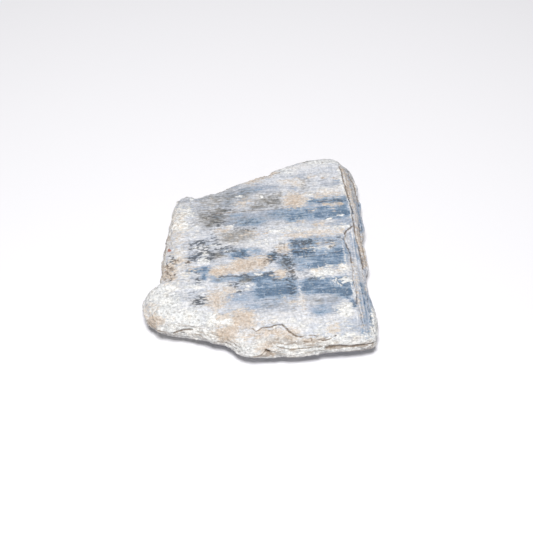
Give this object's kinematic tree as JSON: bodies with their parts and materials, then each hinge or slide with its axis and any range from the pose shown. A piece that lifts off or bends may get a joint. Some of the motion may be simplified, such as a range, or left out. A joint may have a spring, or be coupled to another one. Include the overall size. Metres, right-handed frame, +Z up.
{
  "type": "kyanite blade cluster",
  "caption": "Flat broken slab of blue kyanite blades grown together side by side, with white crust and tan stains, that lies on its cleavage face.",
  "frame": {"origin": "middle of the foot of the slab's box, on the surface that it rests on", "axes": "+X along the blades towards their stepped broken ends, +Y across the blades towards the back, +Z up through the slab's thickness"},
  "size_m": [0.06, 0.0629, 0.0083],
  "materials": {
    "kyanite": "silky striated blue cleavage faces with matt white crust and tan clay stains"
  },
  "bodies": {
    "root": {"kyanite_cluster": "kyanite"}
  },
  "joints": []
}
